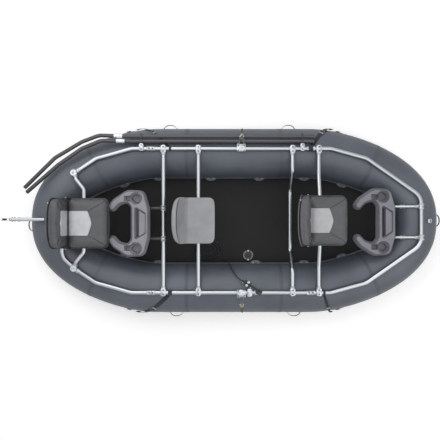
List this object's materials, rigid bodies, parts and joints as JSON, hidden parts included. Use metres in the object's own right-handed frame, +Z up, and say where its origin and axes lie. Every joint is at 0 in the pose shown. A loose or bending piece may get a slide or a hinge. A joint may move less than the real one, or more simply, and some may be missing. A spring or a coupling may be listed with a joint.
{
  "type": "fishing raft",
  "caption": "Inflatable oval river raft with a tubular rowing and fishing frame: swivelling folding seats, a rower's seat, standing braces, oarlocks, rod holder and anchor arm.",
  "frame": {"origin": "on the floor's flat underside, on the centreline, midway between the tube's two ends", "axes": "+X towards the bow, +Y to port, +Z up"},
  "size_m": [4.1377, 1.8784, 0.9048],
  "materials": {
    "hull_fabric": "satin coated fabric",
    "floor_fabric": "matte coated fabric",
    "flange_fabric": "satin coated fabric",
    "webbing": "woven, matte",
    "black_webbing": "woven, matte",
    "bright_aluminium": "polished extrusion",
    "cast_aluminium": "tumbled casting",
    "black_metal": "satin powder coat",
    "black_plastic": "moulded, matte",
    "rod_plastic": "extruded, glossy",
    "seat_vinyl": "embossed vinyl, matte",
    "seat_plastic": "moulded, matte",
    "rower_plastic": "rotomoulded, matte",
    "tray_plastic": "rotomoulded, matte",
    "brass": "cast, satin",
    "valve_plastic": "moulded, matte",
    "rope": "braided, matte"
  },
  "bodies": {
    "frame": {"anchor_arm": "bright_aluminium", "anchor_arm_clamp": "black_metal", "anchor_rope_coil": "rope", "anchor_rope_run": "rope", "bow_rail": "bright_aluminium", "bow_seat_crossbar": "bright_aluminium", "bow_seat_mount": "black_metal", "bow_tray": "tray_plastic", "carry_handle_bow": "webbing", "carry_handle_port_aft": "webbing", "carry_handle_port_fore": "webbing", "carry_handle_starboard_aft": "webbing", "carry_handle_starboard_fore": "webbing", "carry_handle_stern": "webbing", "center_rail_port": "bright_aluminium", "center_rail_starboard": "bright_aluminium", "cleat_base": "black_metal", "deck_pulley": "cast_aluminium", "floor": "floor_fabric", "floor_valve": "valve_plastic", "foot_bar": "bright_aluminium", "hull_tube": "hull_fabric", "lacing_flange": "flange_fabric", "oar_stand_port": "cast_aluminium", "oar_stand_starboard": "cast_aluminium", "rod_clamp_aft": "black_plastic", "rod_clamp_fore": "black_plastic", "rod_tip_inner": "rod_plastic", "rod_tip_outer": "rod_plastic", "rod_tube_inner": "rod_plastic", "rod_tube_outer": "rod_plastic", "rower_crossbar": "bright_aluminium", "rower_seat": "rower_plastic", "stern_rail_port": "bright_aluminium", "stern_rail_starboard": "bright_aluminium", "stern_seat_bar": "bright_aluminium", "stern_seat_mount": "black_metal", "stern_tray": "tray_plastic", "strap_port_aft": "black_webbing", "strap_port_fore": "black_webbing", "strap_starboard_aft": "black_webbing", "strap_starboard_fore": "black_webbing", "tray_crossbar": "bright_aluminium"},
    "bow_seat": {"bow_seat_swivel": "black_metal", "bow_seat_pan": "seat_plastic", "bow_seat_cushion": "seat_vinyl"},
    "bow_seat_back": {"bow_seat_back_shell": "seat_plastic", "bow_seat_back_cushion": "seat_vinyl"},
    "stern_seat": {"stern_seat_swivel": "black_metal", "stern_seat_pan": "seat_plastic", "stern_seat_cushion": "seat_vinyl"},
    "stern_seat_back": {"stern_seat_back_shell": "seat_plastic", "stern_seat_back_cushion": "seat_vinyl"},
    "oarlock_port": {"oarlock_port": "brass"},
    "oarlock_starboard": {"oarlock_starboard": "brass"},
    "anchor_sheave": {"anchor_sheave": "black_plastic"},
    "deck_sheave": {"deck_sheave": "black_plastic"},
    "cleat_cam_inner": {"cleat_cam_inner": "cast_aluminium"},
    "cleat_cam_outer": {"cleat_cam_outer": "cast_aluminium"},
    "floor_valve_cap": {"floor_valve_cap": "black_plastic"}
  },
  "joints": [
    {"name": "bow_seat_turn", "type": "hinge", "parent": "frame", "child": "bow_seat", "pos_m": [0.79498, 0, 0.58775], "axis": [0, 0, 1], "continuous": true},
    {"name": "bow_seat_back_fold", "type": "hinge", "parent": "bow_seat", "child": "bow_seat_back", "pos_m": [0.66398, 0, 0.69606], "axis": [0, 1, 0], "range_deg": [0, 88]},
    {"name": "stern_seat_turn", "type": "hinge", "parent": "frame", "child": "stern_seat", "pos_m": [-1.39605, -0.025, 0.58775], "axis": [0, 0, 1], "continuous": true},
    {"name": "stern_seat_back_fold", "type": "hinge", "parent": "stern_seat", "child": "stern_seat_back", "pos_m": [-1.52705, -0.025, 0.69606], "axis": [0, 1, 0], "range_deg": [0, 88]},
    {"name": "oarlock_port_turn", "type": "hinge", "parent": "frame", "child": "oarlock_port", "pos_m": [0.067, 0.77, 0.61719], "axis": [0, 0.1736, 0.9848], "continuous": true},
    {"name": "oarlock_starboard_turn", "type": "hinge", "parent": "frame", "child": "oarlock_starboard", "pos_m": [0.067, -0.77, 0.61719], "axis": [0, -0.1736, 0.9848], "continuous": true},
    {"name": "anchor_sheave_spin", "type": "hinge", "parent": "frame", "child": "anchor_sheave", "pos_m": [-2.134, 0.01, 0.55886], "axis": [0, 1, 0], "continuous": true},
    {"name": "deck_sheave_spin", "type": "hinge", "parent": "frame", "child": "deck_sheave", "pos_m": [0.21569, -0.66234, 0.53749], "axis": [0, 0, 1], "continuous": true},
    {"name": "cleat_cam_inner_turn", "type": "hinge", "parent": "frame", "child": "cleat_cam_inner", "pos_m": [0.13406, -0.57491, 0.53049], "axis": [0, 0, 1], "range_deg": [0, 60], "stiffness_Nm_per_rad": 0.02},
    {"name": "cleat_cam_outer_turn", "type": "hinge", "parent": "frame", "child": "cleat_cam_outer", "pos_m": [0.11594, -0.60509, 0.53049], "axis": [0, 0, 1], "range_deg": [-60, 0], "stiffness_Nm_per_rad": 0.02},
    {"name": "floor_valve_cap_turn", "type": "hinge", "parent": "frame", "child": "floor_valve_cap", "pos_m": [0.151, -0.34856, 0.1326], "axis": [0, 0, 1], "range_deg": [0, 90]}
  ],
  "couplings": [
    {"joint": "cleat_cam_outer_turn", "follows": "cleat_cam_inner_turn", "ratio": -1}
  ]
}
